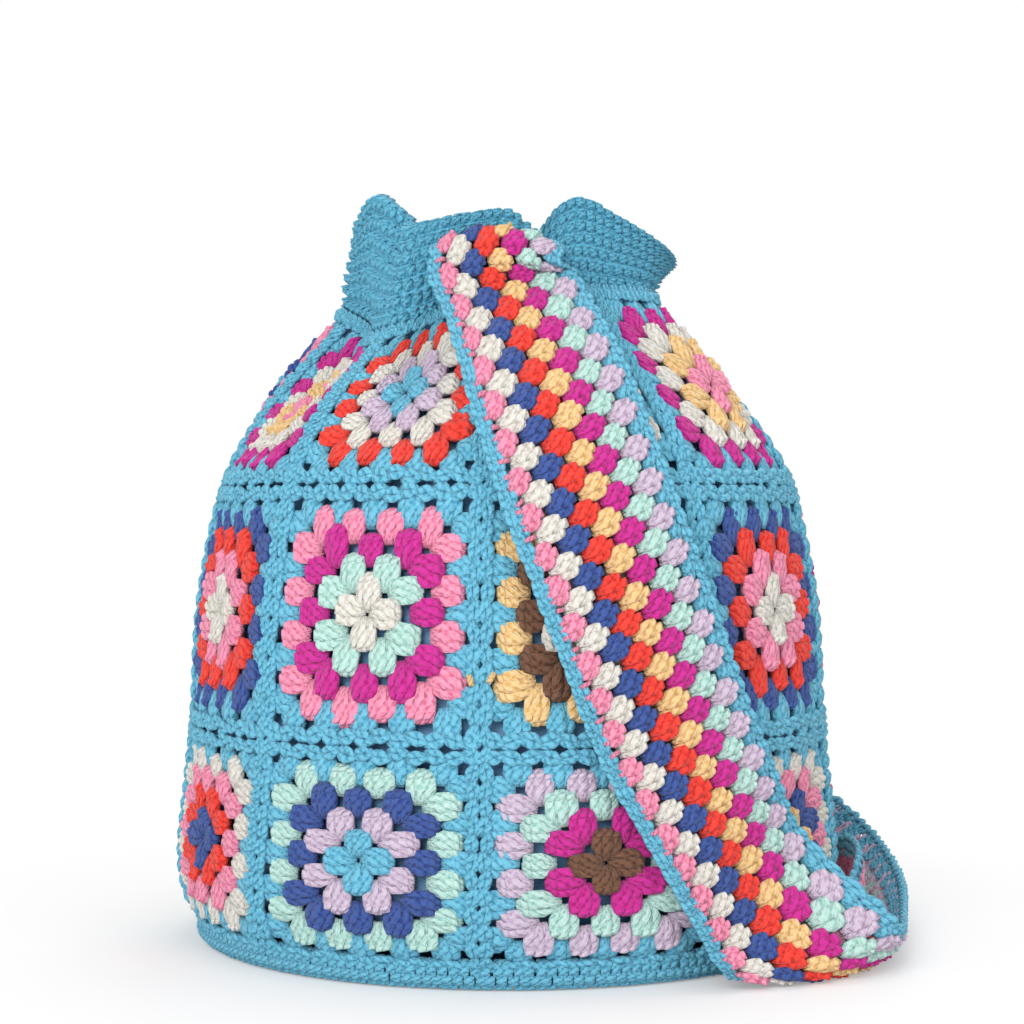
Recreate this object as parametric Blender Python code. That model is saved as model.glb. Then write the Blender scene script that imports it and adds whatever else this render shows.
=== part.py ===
# Crocheted granny square bucket bag, standing with its wide strap looped over the front.
# Metres, +Z up, the front of the bag faces -Y, and the middle of the base is the origin.

import math

import bmesh
import bpy
import numpy as np

# Driving dimensions of the bag
SQUARES_AROUND = 9
ROWS = 3
BELLY_RADIUS = 0.1535
WAIST_RADIUS = 0.1475
SHOULDER_RADIUS = 0.1335
NECK_RADIUS = 0.0715
BELLY_HEIGHT = 0.042
SHOULDER_HEIGHT = 0.2115
NECK_HEIGHT = 0.301
# Where each row of squares starts, as a share of the wall's length, and where the last one ends
ROW_EDGES = (0.0, 0.300, 0.653, 1.0)
BASE_FLAT_RADIUS = 0.128
BASE_THICKNESS = 0.0055
EDGE_RADIUS = 0.1425
EDGE_HEIGHT = 0.0095
# How far the rim of the base bulges out and down from the straight line between floor and wall
EDGE_BULGE = (0.0025, -0.0018)
# Between the base edge and the belly the wall bulges out and down, and above the waist it draws in
LOW_BULGE = (0.003, -0.004)
WAIST_DRAW = 0.003
# Two places on the gathered shoulder: shares of the way in to the neck and up to it
SHOULDER_TURN = ((0.27, 0.37), (0.58, 0.66))
PROFILE_STEPS = 241
STEPS_BETWEEN_KNOTS = 24

# How far to either side a surface is probed for its direction, in radians and in rows
PROBE_STEP = 0.002

# Yarn cloth, its rounds of stitches and the gaps that touching pieces keep
CLOTH_OUT = 0.0022
CLOTH_IN = 0.0015
ROUND_RELIEF = 0.0013
ROUNDS = 4
CORNERS_PER_SIDE = 4
# Bands across each round's ridge and groove that the middle of a square takes up, and its rise there
MIDDLE_BANDS = 3
MIDDLE_RISE = 0.4
BACK_SHARE = 0.5
SEAM_GAP = 0.0004
SEAT_GAP = 0.0003
COLLAR_SEAM_GAP = 0.0012

# Folds of the gathered shoulder: where they start in rows up, and how much is left of them at the neck
FOLDS = 7
FOLD_FROM = 2.0
FOLD_DEPTH = 0.0115
FOLD_LEAN = math.radians(4.0)
NECK_SHARE = 0.45
# The strap presses the folds flat at the front and the back
PRESSED_FRONT = math.radians(8.0)
PRESSED_BACK = math.radians(150.0)
PRESSED_WIDTH = math.radians(24.0)
PRESSED_SHARE = 0.85
# The seam at the left front rolls over in the deepest fold
FIRST_SEAM = math.radians(-44.5)
DEEP_FOLD = 0.65
DEEP_WIDTH = math.radians(24.0)
# The neck hangs lower at the left front and is pinched in at the right
NECK_SAG = 0.021
SAG_ANGLE = math.radians(-52.0)
SAG_WIDTH = math.radians(34.0)
NECK_PINCH = 0.006
PINCH_ANGLE = math.radians(85.0)
PINCH_WIDTH = math.radians(42.0)

# Collar, from the neck seam to its ruffled rim
COLLAR_SEGMENTS = 2 * SQUARES_AROUND * CORNERS_PER_SIDE
COLLAR_LEVELS = 4
COLLAR_BULGE = 0.006
COLLAR_LIFT = 0.6
COLLAR_THICKNESS = 0.0042
COLLAR_RELIEF = 0.0004
COLLAR_RISE = 0.048
# The collar turns from the wall's direction to its own within this share of its height
COLLAR_TURN_SHARE = 0.3

# Rim stations: angle from the front in degrees, then radius and rise as shares of the neck's radius
# and the collar's rise
RIM = (
    (-98, 0.99, 0.69),
    (-85, 1.01, 0.75),
    (-70, 0.92, 1.00),
    (-58, 0.87, 0.90),
    (-50, 0.81, 0.74),
    (-42, 0.95, 0.60),
    (-30, 0.98, 0.66),
    (-15, 0.94, 0.72),
    (0, 0.91, 0.74),
    (12, 0.86, 0.55),
    (22, 0.85, 0.80),
    (32, 0.90, 0.89),
    (45, 0.98, 0.73),
    (62, 1.09, 0.53),
    (80, 1.14, 0.38),
    (96, 1.06, 0.33),
    (115, 0.92, 0.45),
    (135, 0.87, 0.60),
    (155, 0.87, 0.66),
    (178, 0.88, 0.62),
    (-160, 0.87, 0.74),
    (-135, 0.92, 0.86),
    (-112, 0.95, 0.76),
)

# Strap, sewn to the collar's outside at the front, which crosses the bag, goes round the side near the
# floor and climbs the back to the collar there
STRAP_WIDTH = 0.074
STRAP_NECK_WIDTH = 0.057
STRAP_THICKNESS = 0.0040
STRAP_RELIEF = 0.0008
STRAP_ROWS = 3
STRAP_LEAN = math.radians(25.0)
STRAP_BACK_LEAN = math.radians(16.0)
STRAP_CLEARANCE = 0.0024
STRAP_TUCK = 0.0015
STRAP_POINTS_BETWEEN = 2
# Stations down the wall over which the gathered strap widens to its full width
STRAP_WIDENING = 3
STRAP_FRONT_NECK = math.radians(-4.0)
STRAP_BACK_NECK = math.radians(150.0)
# From the sewn end up and over its own fold: radius as a share of the neck's radius, rise as a share of
# the collar's rise, then the edges' drop and tuck as shares of the strap's width, and the lean in degrees
STRAP_OVER_COLLAR = (
    (1.100, 0.10, 0.00, 0.09, 0.0),
    (1.078, 0.28, 0.02, 0.09, 0.0),
    (1.060, 0.45, 0.08, 0.09, 0.0),
    (1.105, 0.56, 0.15, 0.10, 0.0),
    (1.165, 0.44, 0.13, 0.09, 4.0),
    (1.185, 0.22, 0.08, 0.06, 9.0),
)
# Down the wall: angle from the front in degrees and height as a share of the neck's height
STRAP_FRONT_LEG = (
    (0, 0.973),
    (5, 0.904),
    (9, 0.814),
    (14, 0.671),
    (20, 0.518),
    (26, 0.379),
    (33, 0.252),
    (40, 0.146),
)
STRAP_BACK_LEG = (
    (150, 0.973),
    (149, 0.904),
    (148, 0.814),
    (146, 0.671),
    (144, 0.518),
    (142, 0.392),
    (140, 0.279),
    (138, 0.186),
)
# Round the side: the middle, the inner edge and the outer edge, as shares of the belly's radius
STRAP_LOOP = (
    ((0.825, -0.868, 0.060), (0.600, -0.945, 0.050), (1.075, -0.735, 0.160)),
    ((1.000, -0.650, 0.024), (0.808, -0.736, 0.091), (1.136, -0.547, 0.104)),
    ((1.094, -0.313, 0.026), (1.029, -0.352, 0.221), (1.186, -0.274, 0.111)),
    ((1.114, 0.000, 0.033), (1.088, 0.000, 0.274), (1.231, 0.000, 0.130)),
    ((1.107, 0.313, 0.046), (1.029, 0.352, 0.235), (1.250, 0.300, 0.163)),
    ((1.003, 0.632, 0.085), (0.814, 0.749, 0.130), (1.225, 0.573, 0.221)),
    ((0.850, 0.827, 0.176), (0.619, 0.945, 0.124), (1.110, 0.730, 0.319)),
)

# Lining
LINING_COLOUR = (0.15, 0.36, 0.62)
LINING_THICKNESS = 0.0008
LINING_CLEARANCE = 0.0045
LINING_SEGMENTS = 16
LINING_PROBES = 180
# The lining's rings, in rows up
LINING_RINGS = (0.25, 0.6, 1.1, 1.7, 2.2, 2.65, 2.97)

TURQUOISE = (0.108, 0.434, 0.611)
YARN = {
    "white": (0.80, 0.77, 0.70),
    "pink": (0.84, 0.29, 0.45),
    "magenta": (0.53, 0.022, 0.26),
    "red": (0.83, 0.055, 0.04),
    "navy": (0.045, 0.10, 0.35),
    "mint": (0.42, 0.78, 0.66),
    "lilac": (0.62, 0.50, 0.66),
    "yellow": (0.85, 0.62, 0.24),
}
YARN_ROUGHNESS = 0.85
SHARP_EDGE = math.radians(50.0)
# The outermost coloured round of each square, from the left front seam round to the right
OUTER_ROUNDS = {
    "low": ("mint", "lilac", "white", "pink", "navy", "yellow", "magenta", "mint", "white"),
    "middle": ("pink", "yellow", "navy", "pink", "lilac", "white", "mint", "yellow", "navy"),
    "top": ("red", "white", "magenta", "red", "pink", "yellow", "navy", "pink", "magenta"),
}


def smooth(value):
    clipped = np.clip(value, 0.0, 1.0)
    return clipped * clipped * (3.0 - 2.0 * clipped)


def between(a, b, c, d, t):
    """The place at a share of the way from b to c, on the smooth curve through all four."""
    return 0.5 * (2 * b + (c - a) * t + (2 * a - 5 * b + 4 * c - d) * t**2 + (3 * b - a - 3 * c + d) * t**3)


def curve_through(knots, steps):
    """Rows of places along the smooth curve through the given ones, a number of steps to each."""
    padded = np.vstack([2 * knots[0] - knots[1], knots, 2 * knots[-1] - knots[-2]])
    shares = np.arange(steps)[:, None] / steps
    curve = [between(*padded[first : first + 4], shares) for first in range(len(knots) - 1)]
    return np.vstack(curve + [knots[-1:]])


def wall_profile():
    """Radius and height of the bag's wall from the base edge to the neck, by length."""
    edge = np.array([EDGE_RADIUS, EDGE_HEIGHT])
    belly = np.array([BELLY_RADIUS, BELLY_HEIGHT])
    waist = np.array([WAIST_RADIUS, SHOULDER_HEIGHT / 2])
    above_waist = np.array([WAIST_RADIUS - WAIST_DRAW, 0.75 * SHOULDER_HEIGHT])
    shoulder = np.array([SHOULDER_RADIUS, SHOULDER_HEIGHT])
    neck = np.array([NECK_RADIUS, NECK_HEIGHT])
    turns = [shoulder + (neck - shoulder) * share for share in SHOULDER_TURN]
    low = (edge + belly) / 2 + LOW_BULGE
    knots = [edge, low, belly, (belly + waist) / 2, waist, above_waist, shoulder, *turns, neck]
    dense = curve_through(np.array(knots), STEPS_BETWEEN_KNOTS)
    along = np.concatenate([[0.0], np.cumsum(np.linalg.norm(np.diff(dense, axis=0), axis=1))])
    wanted = np.linspace(0.0, along[-1], PROFILE_STEPS)
    return np.stack([np.interp(wanted, along, column) for column in dense.T], axis=1)


PROFILE = wall_profile()
PROFILE_LENGTH = float(np.linalg.norm(np.diff(PROFILE, axis=0), axis=1).sum())


def near(around, angle, width):
    """One at an angle round the bag, falling away to nothing beyond a width on either side."""
    turned = np.mod(around - angle + math.pi, 2 * math.pi) - math.pi
    return np.exp(-((turned / width) ** 2))


def fold_share(around, up):
    """How deep the folds are at a place, as a share of their depth."""
    pressed = near(around, PRESSED_FRONT, PRESSED_WIDTH) + near(around, PRESSED_BACK, PRESSED_WIDTH)
    deepened = 1.0 + DEEP_FOLD * near(around, FIRST_SEAM, DEEP_WIDTH)
    gather = smooth((up - FOLD_FROM) / (ROWS - FOLD_FROM))
    eased = 1.0 - (1.0 - NECK_SHARE) * smooth(2.0 * (up - FOLD_FROM) / (ROWS - FOLD_FROM) - 1.0)
    return gather * eased * deepened * (1.0 - PRESSED_SHARE * pressed)


def wall_point(around, up):
    """A place on the wall: its angle round the cloth from the front, and rows up from the base."""
    share = np.interp(up, range(ROWS + 1), ROW_EDGES) * (len(PROFILE) - 1)
    radius = np.interp(share, range(len(PROFILE)), PROFILE[:, 0])
    height = np.interp(share, range(len(PROFILE)), PROFILE[:, 1])
    fold = fold_share(around, up) * np.cos(FOLDS * (around - FIRST_SEAM))
    gather = smooth((up - FOLD_FROM) / (ROWS - FOLD_FROM))
    radius = radius + FOLD_DEPTH * fold - NECK_PINCH * gather * near(around, PINCH_ANGLE, PINCH_WIDTH)
    height = height - NECK_SAG * gather * near(around, SAG_ANGLE, SAG_WIDTH)
    angle = around + FOLD_LEAN * fold
    return np.stack([radius * np.sin(angle), -radius * np.cos(angle), height], axis=-1)


def wall_stretch(around, up):
    """Metres round the wall for each radian of the cloth."""
    step = PROBE_STEP
    ahead = wall_point(around + step, up)
    behind = wall_point(around - step, up)
    return np.linalg.norm(ahead - behind, axis=-1) / (2 * step)


def wall_normal(around, up):
    step = PROBE_STEP
    low = np.clip(up - step, 0.0, ROWS)
    high = np.clip(up + step, 0.0, ROWS)
    across = wall_point(around + step, up) - wall_point(around - step, up)
    along = wall_point(around, high) - wall_point(around, low)
    normal = np.cross(across, along)
    return normal / np.linalg.norm(normal, axis=-1, keepdims=True)


def on_wall(around, up, out):
    around = np.asarray(around, dtype=float)
    up = np.asarray(up, dtype=float)
    return wall_point(around, up) + wall_normal(around, up) * np.asarray(out)[..., None]


def yarn_material(name, colour):
    material = bpy.data.materials.new(name)
    material.use_nodes = True
    shader = material.node_tree.nodes["Principled BSDF"]
    shader.inputs["Base Color"].default_value = (*colour, 1.0)
    shader.inputs["Roughness"].default_value = YARN_ROUGHNESS
    shader.inputs["Metallic"].default_value = 0.0
    material.diffuse_color = (*colour, 1.0)
    return material


def add_object(name, mesh, colour):
    mesh.materials.append(yarn_material(name + "_yarn", colour))
    mesh.shade_smooth()
    mesh.set_sharp_from_angle(angle=SHARP_EDGE)
    made = bpy.data.objects.new(name, mesh)
    bpy.context.collection.objects.link(made)
    return made


def mesh_from(name, points, faces):
    """A closed mesh from its points and faces, with its faces turned outwards."""
    shape = bmesh.new()
    corners = [shape.verts.new(point) for point in points]
    for face in faces:
        shape.faces.new([corners[index] for index in face])
    bmesh.ops.recalc_face_normals(shape, faces=shape.faces)
    mesh = bpy.data.meshes.new(name)
    shape.to_mesh(mesh)
    shape.free()
    return mesh


def stepped_in(shape, face, share, height):
    """Draws a face in to a share of the square's half width, at a height, with a band round it."""
    lifted = bmesh.ops.extrude_face_region(shape, geom=[face], use_keep_orig=True)["geom"]
    inner = next(item for item in lifted if isinstance(item, bmesh.types.BMFace))
    for corner in inner.verts:
        reach = max(abs(corner.co.x), abs(corner.co.y))
        corner.co.x *= share / reach
        corner.co.y *= share / reach
        corner.co.z = height
    return inner


def drawn_in(shape, face, share, height):
    """The same step, with the face that it started from taken out."""
    inner = stepped_in(shape, face, share, height)
    shape.faces.remove(face)
    return inner


def square_template():
    """A flat square two units wide, whose rounds of stitches step in as they rise and fall."""
    shape = bmesh.new()
    outline = []
    for side in range(4):
        turn = side * math.pi / 2
        for corner in range(CORNERS_PER_SIDE):
            x = 1.0 - 2.0 * corner / CORNERS_PER_SIDE
            place = (x * math.cos(turn) - math.sin(turn), x * math.sin(turn) + math.cos(turn), -CLOTH_IN)
            outline.append(shape.verts.new(place))
    back = shape.faces.new(outline)
    front = stepped_in(shape, back, 1.0, CLOTH_OUT)
    bands = 2 * ROUNDS - 1
    for band in range(bands):
        share = 1.0 - (band + 1) / (bands + MIDDLE_BANDS)
        ridge = ROUND_RELIEF if band % 2 == 0 else 0.0
        front = drawn_in(shape, front, share, CLOTH_OUT + ridge)
    middle = bmesh.ops.poke(shape, faces=[front])["verts"][0]
    middle.co.z = CLOTH_OUT + MIDDLE_RISE * ROUND_RELIEF
    back = drawn_in(shape, back, BACK_SHARE, -CLOTH_IN)
    bmesh.ops.poke(shape, faces=[back])
    bmesh.ops.recalc_face_normals(shape, faces=shape.faces)
    mesh = bpy.data.meshes.new("square_template")
    shape.to_mesh(mesh)
    shape.free()
    return mesh


def add_square(template, row_name, row, place):
    """A crocheted square bent onto the wall, in its row and its place round the bag."""
    mesh = template.copy()
    mesh.name = f"square_{row_name}_{place + 1}"
    pitch = 2 * math.pi / SQUARES_AROUND
    row_height = PROFILE_LENGTH * (ROW_EDGES[row + 1] - ROW_EDGES[row])
    height_share = 1.0 - 2 * SEAM_GAP / row_height
    flat = np.empty(len(mesh.vertices) * 3)
    mesh.vertices.foreach_get("co", flat)
    flat = flat.reshape(-1, 3)
    up = row + 0.5 + 0.5 * height_share * flat[:, 1]
    around = FIRST_SEAM + pitch * (place + 0.5 + 0.5 * flat[:, 0])
    around -= flat[:, 0] * SEAM_GAP / wall_stretch(around, up)
    bent = on_wall(around, up, flat[:, 2])
    mesh.vertices.foreach_set("co", bent.ravel())
    mesh.update()
    return add_object(mesh.name, mesh, YARN[OUTER_ROUNDS[row_name][place]])


def turned_body(name, outline, segments, start, colour):
    """A closed outline of radius and height, turned once round the bag's axis."""
    points = []
    faces = []
    rings = []
    for radius, height in outline:
        if radius == 0.0:
            rings.append([len(points)] * segments)
            points.append((0.0, 0.0, height))
            continue
        ring = []
        for step in range(segments):
            angle = start + 2 * math.pi * step / segments
            ring.append(len(points))
            points.append((radius * math.sin(angle), -radius * math.cos(angle), height))
        rings.append(ring)
    for lower, upper in zip(rings, rings[1:]):
        for step in range(segments):
            after = (step + 1) % segments
            corners = [lower[step], lower[after], upper[after], upper[step]]
            face = list(dict.fromkeys(corners))
            if len(face) > 2:
                faces.append(face)
    return add_object(name, mesh_from(name, points, faces), colour)


def edge_frame():
    """The wall's place, direction and outward direction in section, at the base edge."""
    start = PROFILE[0]
    direction = PROFILE[1] - start
    direction = direction / np.linalg.norm(direction)
    outward = np.array([direction[1], -direction[0]])
    return start, direction, outward


def add_base():
    """The solid turquoise base, a disc whose rounded rim turns up to meet the squares."""
    start, direction, outward = edge_frame()
    below = start - direction * (SEAM_GAP + SEAT_GAP)
    outer = below + outward * CLOTH_OUT
    inner = below - outward * CLOTH_IN
    ring = (outer + np.array([BASE_FLAT_RADIUS, 0.0])) / 2 + EDGE_BULGE
    outline = [
        (0.0, 0.0),
        (BASE_FLAT_RADIUS, 0.0),
        tuple(ring),
        tuple(outer),
        tuple(inner),
        (BASE_FLAT_RADIUS, BASE_THICKNESS),
        (0.0, BASE_THICKNESS),
    ]
    segments = SQUARES_AROUND * CORNERS_PER_SIDE
    return turned_body("base", outline, segments, FIRST_SEAM, TURQUOISE)


def add_lining():
    """The cloth lining, a thin bag that follows the wall from inside and stands on the base."""
    floor = BASE_THICKNESS + SEAT_GAP
    reach = BASE_FLAT_RADIUS - LINING_CLEARANCE
    outer = [(0.0, floor), (reach, floor)]
    inner = [(0.0, floor + LINING_THICKNESS), (reach - LINING_THICKNESS, floor + LINING_THICKNESS)]
    angles = np.linspace(0.0, 2 * math.pi, LINING_PROBES, endpoint=False)
    for up in LINING_RINGS:
        ring = wall_point(angles, np.full_like(angles, up))
        radius = np.hypot(ring[:, 0], ring[:, 1]).min() - CLOTH_IN - LINING_CLEARANCE
        height = ring[:, 2].min()
        outer.append((radius, height))
        inner.append((radius - LINING_THICKNESS, height))
    outline = outer + inner[::-1]
    return turned_body("lining", outline, LINING_SEGMENTS, 0.0, LINING_COLOUR)


def rim_station(angle):
    """Radius and height of the collar's rim at an angle, from the stations around it."""
    stations = np.array(sorted(RIM)) * (math.radians(1.0), NECK_RADIUS, COLLAR_RISE)
    stations[:, 2] += NECK_HEIGHT
    whole_turn = np.array([2 * math.pi, 0.0, 0.0])
    ringed = np.vstack([stations[-3:] - whole_turn, stations, stations[:3] + whole_turn])
    turned = np.mod(angle + math.pi, 2 * math.pi) - math.pi
    after = np.searchsorted(ringed[:, 0], turned, side="right")
    before, here, there, beyond = (ringed[after + shift] for shift in (-2, -1, 0, 1))
    share = ((turned - here[..., 0]) / (there[..., 0] - here[..., 0]))[..., None]
    rim = between(before, here, there, beyond, share)
    return rim[..., 1], rim[..., 2]


def collar_point(around, up):
    """A place on the collar: its angle round the cloth, and its share up from the neck seam."""
    top = np.full_like(around, float(ROWS))
    seam = wall_point(around, top)
    below = wall_point(around, top - PROBE_STEP)
    leaving = (seam - below) / np.linalg.norm(seam - below, axis=-1, keepdims=True)
    seam = seam + leaving * COLLAR_SEAM_GAP
    radius, height = rim_station(around)
    rim = np.stack([radius * np.sin(around), -radius * np.cos(around), height], axis=-1)
    outward = np.stack([np.sin(around), -np.cos(around), np.zeros_like(around)], axis=-1)
    share = np.asarray(up)[..., None]
    swell = np.sin(math.pi * share) * COLLAR_BULGE * (1.0 - share)
    straight = seam * (1 - share) + rim * share
    return straight + leaving * swell * COLLAR_LIFT + outward * swell


def collar_normal(around, up):
    step = PROBE_STEP
    low = np.clip(up - step, 0.0, 1.0)
    high = np.clip(up + step, 0.0, 1.0)
    across = collar_point(around + step, up) - collar_point(around - step, up)
    along = collar_point(around, high) - collar_point(around, low)
    normal = np.cross(across, along)
    normal = normal / np.linalg.norm(normal, axis=-1, keepdims=True)
    at_seam = (1.0 - smooth(up / COLLAR_TURN_SHARE))[..., None]
    mitred = normal * (1.0 - at_seam) + wall_normal(around, np.full_like(around, float(ROWS))) * at_seam
    return mitred / np.linalg.norm(mitred, axis=-1, keepdims=True)


def collar_ring(angles, level, out):
    """One ring of the collar's points, straight between the squares' own corners at the seam."""
    up = np.full_like(angles, level)
    ring = collar_point(angles, up) + collar_normal(angles, up) * out
    if level == 0.0:
        ring[1::2] = 0.5 * (ring[0::2] + np.roll(ring[0::2], -1, axis=0))
    return ring


def add_collar():
    """The solid turquoise collar, pinched at the neck seam and ruffled outwards to its rim."""
    angles = FIRST_SEAM + 2 * math.pi * np.arange(COLLAR_SEGMENTS) / COLLAR_SEGMENTS
    levels = np.linspace(0.0, 1.0, COLLAR_LEVELS)
    half = COLLAR_THICKNESS / 2
    rings = []
    for level in levels:
        relief = COLLAR_RELIEF if 0.0 < level < 1.0 else 0.0
        rings.append(collar_ring(angles, level, half + relief))
    for level in (1.0, 0.0):
        rings.append(collar_ring(angles, level, -half))
    points = np.vstack(rings)
    faces = []
    for ring in range(len(rings)):
        for step in range(COLLAR_SEGMENTS):
            after = (step + 1) % COLLAR_SEGMENTS
            here = ring * COLLAR_SEGMENTS
            there = ((ring + 1) % len(rings)) * COLLAR_SEGMENTS
            faces.append((here + step, here + after, there + after, there + step))
    return add_object("collar", mesh_from("collar", points, faces), TURQUOISE)


def strap_station(angle, place, rising, lean, width, tuck):
    """The strap's centre and both edges where it crosses the wall or the collar."""
    around = np.array([math.cos(angle), math.sin(angle), 0.0])
    across = around * math.cos(lean) + rising * math.sin(lean)
    left = place - across * width / 2 + tuck
    right = place + across * width / 2 + tuck
    return np.concatenate([place, left, right])


def strap_leg(neck, leg, lean, side):
    """Stations from the end sewn to the collar, over its own fold and down the wall."""
    stations = []
    inward = np.array([-math.sin(neck), math.cos(neck), 0.0])
    upright = np.array([0.0, 0.0, 1.0])
    for reach, rise, drop, tuck, degrees in STRAP_OVER_COLLAR:
        level = NECK_HEIGHT + COLLAR_RISE * rise
        place = level * upright - NECK_RADIUS * reach * inward
        edges = STRAP_NECK_WIDTH * (tuck * inward - drop * upright)
        turned = side * math.radians(degrees)
        stations.append(strap_station(neck, place, upright, turned, side * STRAP_NECK_WIDTH, edges))
    out = CLOTH_OUT + ROUND_RELIEF + STRAP_CLEARANCE + STRAP_THICKNESS / 2
    for step, (degrees, rise) in enumerate(leg, 1):
        widened = min(step / STRAP_WIDENING, 1.0)
        width = STRAP_NECK_WIDTH + (STRAP_WIDTH - STRAP_NECK_WIDTH) * widened
        angle = math.radians(degrees)
        index = int(np.argmin(np.abs(PROFILE[:, 1] - rise * NECK_HEIGHT)))
        slope = PROFILE[min(index + 1, len(PROFILE) - 1)] - PROFILE[index - 1]
        slope = slope / np.linalg.norm(slope)
        radius = PROFILE[index, 0] + out * slope[1]
        level = PROFILE[index, 1] - out * slope[0]
        place = np.array([radius * math.sin(angle), -radius * math.cos(angle), level])
        rising = np.array([slope[0] * math.sin(angle), -slope[0] * math.cos(angle), slope[1]])
        inward = np.array([-math.sin(angle), math.cos(angle), 0.0])
        stations.append(strap_station(angle, place, rising, lean, side * width, STRAP_TUCK * inward))
    return stations


def strap_sections():
    """Centre, left edge and right edge of the strap at every step of its length."""
    front = strap_leg(STRAP_FRONT_NECK, STRAP_FRONT_LEG, STRAP_LEAN, 1)
    loop = [np.array(station).ravel() * BELLY_RADIUS for station in STRAP_LOOP]
    back = strap_leg(STRAP_BACK_NECK, STRAP_BACK_LEG, -STRAP_BACK_LEAN, -1)
    return curve_through(np.array(front + loop + back[::-1]), STRAP_POINTS_BETWEEN)


def add_strap():
    """The wide strap, one closed band with a low ridge along each pair of its rows."""
    sections = strap_sections()
    centre, left, right = sections[:, :3], sections[:, 3:6], sections[:, 6:]
    ahead = np.gradient(centre, axis=0)
    ridge_places = np.linspace(-1.0, 1.0, 2 * STRAP_ROWS + 1)
    back_places = np.linspace(1.0, -1.0, STRAP_ROWS + 1)
    rings = []
    for place, side in [(p, 1.0) for p in ridge_places] + [(p, -1.0) for p in back_places]:
        point = left * place * (place - 1) / 2 + centre * (1 - place**2) + right * place * (place + 1) / 2
        across = left * (place - 0.5) - 2 * centre * place + right * (place + 0.5)
        normal = np.cross(across, -ahead)
        normal = normal / np.linalg.norm(normal, axis=1, keepdims=True)
        raised = STRAP_RELIEF * (round((place + 1) * STRAP_ROWS) % 2) if side > 0 else 0.0
        rings.append(point + normal * side * (STRAP_THICKNESS / 2 + raised))
    count = len(rings)
    points = np.stack(rings, axis=1).reshape(-1, 3)
    points[:, 2] = np.maximum(points[:, 2], 0.0)
    faces = [tuple(range(count)), tuple(range(len(points) - count, len(points)))]
    for section in range(len(sections) - 1):
        for step in range(count):
            after = (step + 1) % count
            here = section * count
            faces.append((here + step, here + after, here + count + after, here + count + step))
    return add_object("strap", mesh_from("strap", points, faces), YARN["red"])


def main():
    for item in list(bpy.data.objects):
        bpy.data.objects.remove(item)
    add_base()
    template = square_template()
    for row, row_name in enumerate(("low", "middle", "top")):
        for place in range(SQUARES_AROUND):
            add_square(template, row_name, row, place)
    bpy.data.meshes.remove(template)
    add_collar()
    add_lining()
    add_strap()


main()
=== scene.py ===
# %% [markdown]
# # A crocheted bag of granny squares
# The bag is a bucket of 27 crocheted squares on a round base, with a gathered collar and a wide strap.
# Everything that shows is yarn, so the lesson models one stitch with care and then lays thousands of
# copies of it on the bag's own surface.

# %% Load the frame
import math

import bpy
import numpy as np
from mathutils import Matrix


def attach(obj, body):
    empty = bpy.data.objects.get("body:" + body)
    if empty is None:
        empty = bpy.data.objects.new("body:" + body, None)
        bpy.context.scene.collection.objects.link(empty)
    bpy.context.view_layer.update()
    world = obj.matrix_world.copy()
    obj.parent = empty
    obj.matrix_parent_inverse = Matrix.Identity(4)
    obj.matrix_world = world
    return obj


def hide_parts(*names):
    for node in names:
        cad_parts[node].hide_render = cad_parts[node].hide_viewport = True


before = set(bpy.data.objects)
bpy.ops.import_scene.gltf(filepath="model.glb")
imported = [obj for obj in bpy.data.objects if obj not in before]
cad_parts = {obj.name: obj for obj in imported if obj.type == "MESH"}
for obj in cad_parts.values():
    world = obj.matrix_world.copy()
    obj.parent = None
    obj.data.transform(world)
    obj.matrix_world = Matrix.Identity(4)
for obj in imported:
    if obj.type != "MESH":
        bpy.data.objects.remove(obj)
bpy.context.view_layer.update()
chance = np.random.default_rng(27)

# %% [markdown]
# ## The camera
# The bag was photographed from its own middle height with a long lens, so its sides hardly converge.
# A camera that looks straight along the floor repeats that, and a small shift frames the bag.

# %% Camera
camera_data = bpy.data.cameras.new("camera")
camera_data.lens = 80.58
camera_data.sensor_width = 36.0
camera_data.shift_x = 0.0039
camera = bpy.data.objects.new("camera", camera_data)
camera.location = (0.0, -1.1, 0.2)
camera.rotation_euler = (math.radians(90.0), 0.0, 0.0)
bpy.context.collection.objects.link(camera)
bpy.context.scene.camera = camera
print("camera at", tuple(camera.location))

# %% [markdown]
# ## The wall as one surface
# All 27 squares lie on one cloth. It could be drawn as a mesh and the stitches snapped to it, but a
# function is more exact: it takes an angle round the bag, a number of rows up from the base and a distance
# out of the cloth, and gives a place. Every stitch of the squares and seams is bent through it.

# %% Sizes of the bag, as in the part's source
SQUARES_AROUND = 9
ROWS = 3
BELLY_RADIUS, BELLY_HEIGHT = 0.1535, 0.042
WAIST_RADIUS, WAIST_DRAW = 0.1475, 0.003
SHOULDER_RADIUS, SHOULDER_HEIGHT = 0.1335, 0.2115
NECK_RADIUS, NECK_HEIGHT = 0.0715, 0.301
EDGE_RADIUS, EDGE_HEIGHT = 0.1425, 0.0095
LOW_BULGE = (0.003, -0.004)
SHOULDER_TURN = ((0.27, 0.37), (0.58, 0.66))
ROW_EDGES = (0.0, 0.300, 0.653, 1.0)
BASE_FLAT_RADIUS, BASE_THICKNESS = 0.128, 0.0055
FIRST_SEAM = math.radians(-44.5)
PROBE_STEP = 0.002


# %% A smooth curve through a few points
def smooth(value):
    clipped = np.clip(value, 0.0, 1.0)
    return clipped * clipped * (3.0 - 2.0 * clipped)


def unit(vectors):
    return vectors / np.linalg.norm(vectors, axis=-1, keepdims=True)


def between(a, b, c, d, t):
    """The place at a share of the way from b to c, on the smooth curve through all four."""
    return 0.5 * (2 * b + (c - a) * t + (2 * a - 5 * b + 4 * c - d) * t**2 + (3 * b - a - 3 * c + d) * t**3)


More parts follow.
